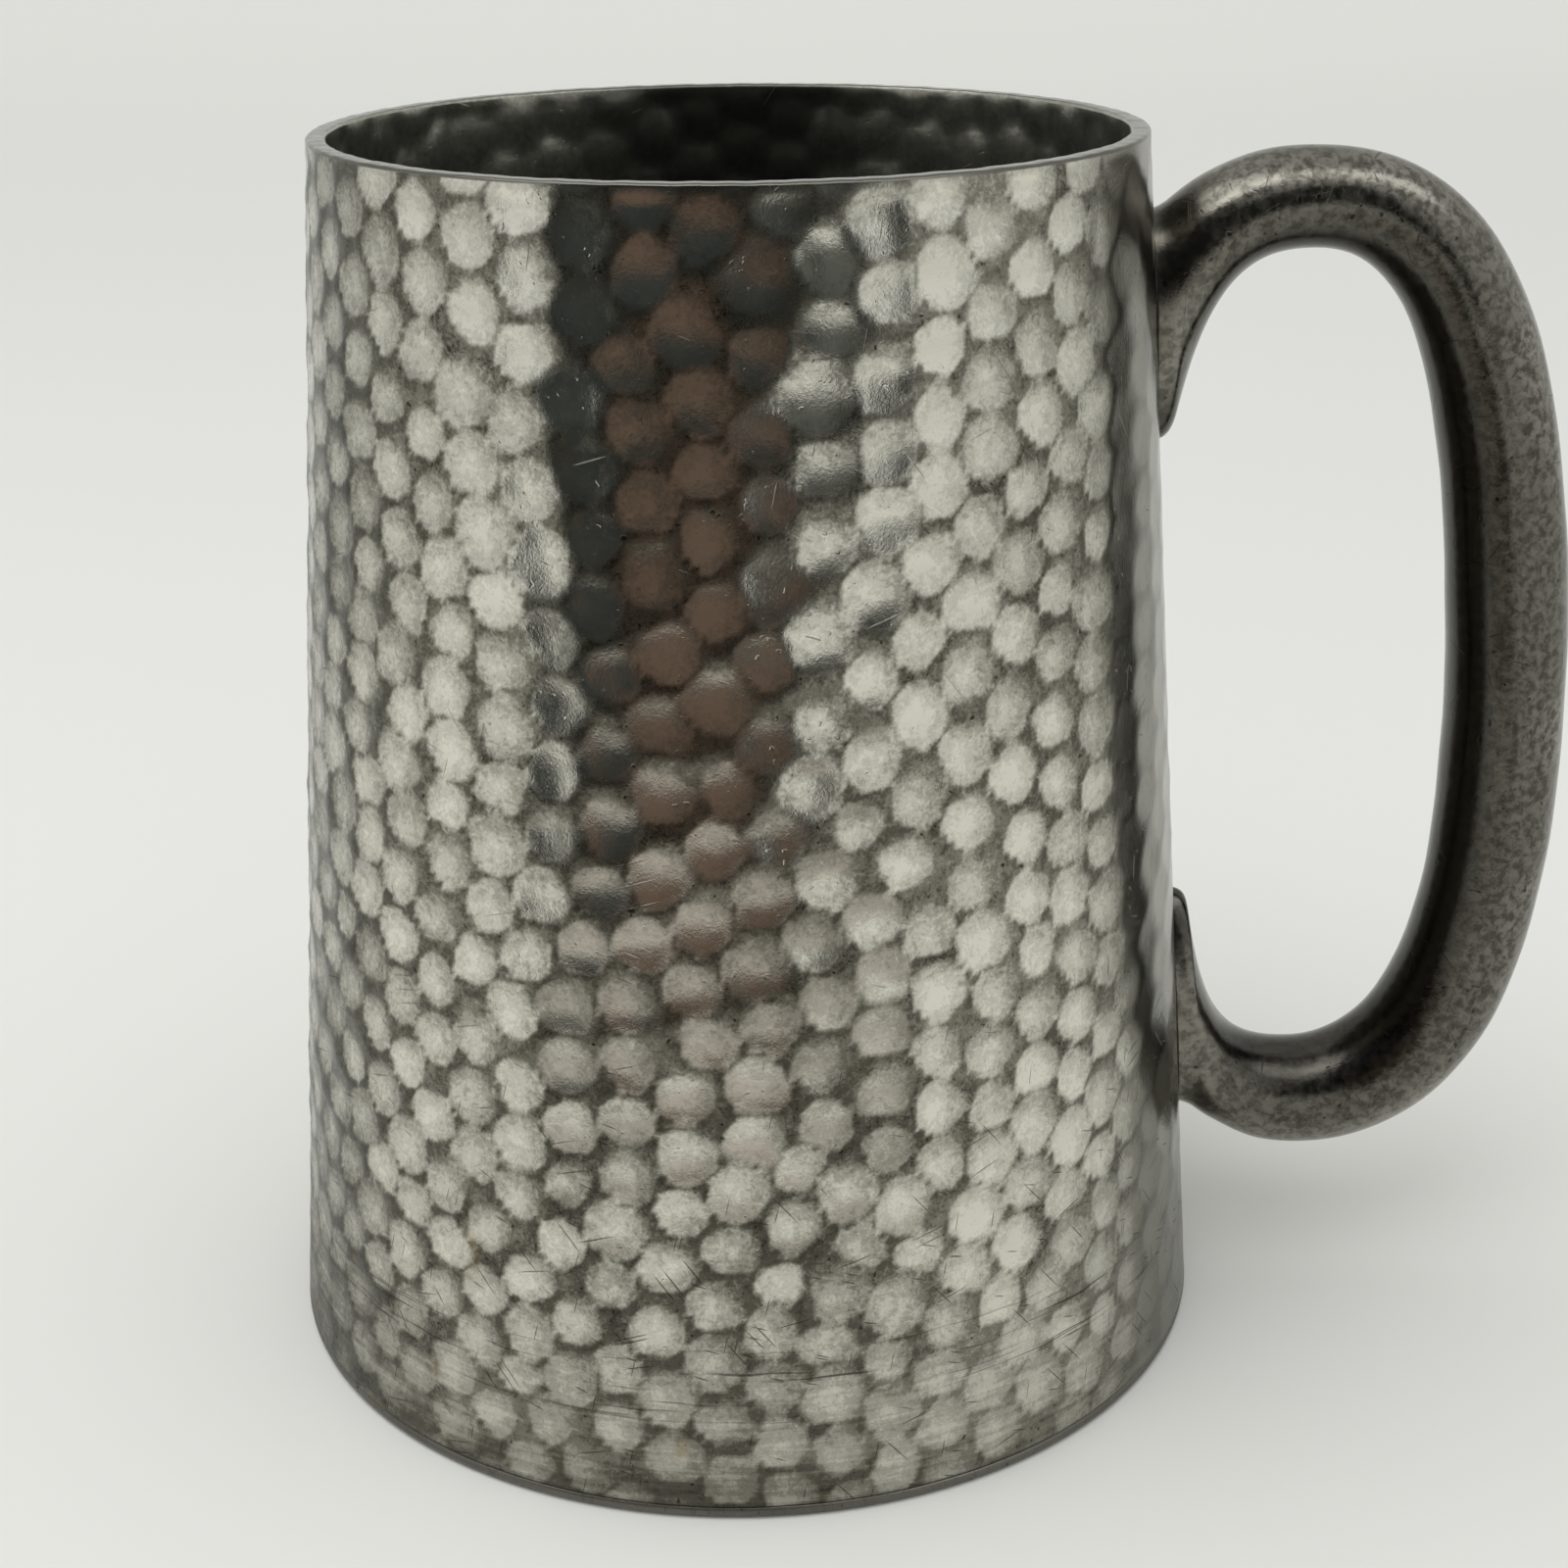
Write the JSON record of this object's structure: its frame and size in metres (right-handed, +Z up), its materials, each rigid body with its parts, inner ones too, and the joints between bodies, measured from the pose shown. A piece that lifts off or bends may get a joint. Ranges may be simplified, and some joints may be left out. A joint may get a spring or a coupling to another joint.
{
  "type": "tankard",
  "caption": "Lidless hammered pewter tankard: a tapering drum soldered to a round base plate, with a hollow cast loop handle at its side for holding and drinking.",
  "frame": {"origin": "centre of the flat underside of the base", "axes": "+Z up along the vessel's axis, +X from the axis towards the handle"},
  "size_m": [0.126, 0.091, 0.1155],
  "materials": {
    "hammered_pewter": "hammered pewter, worn satin, with dark tarnish between the dimples",
    "base_pewter": "flat pewter, satin, scuffed underneath",
    "cast_pewter": "cast pewter with a dark mottled patina, satin",
    "solder": "dull grey solder"
  },
  "bodies": {
    "root": {"body_drum": "hammered_pewter", "base_plate": "base_pewter", "base_solder_ring": "solder", "handle_casting": "cast_pewter", "upper_handle_solder": "solder", "lower_handle_solder": "solder"}
  },
  "joints": []
}
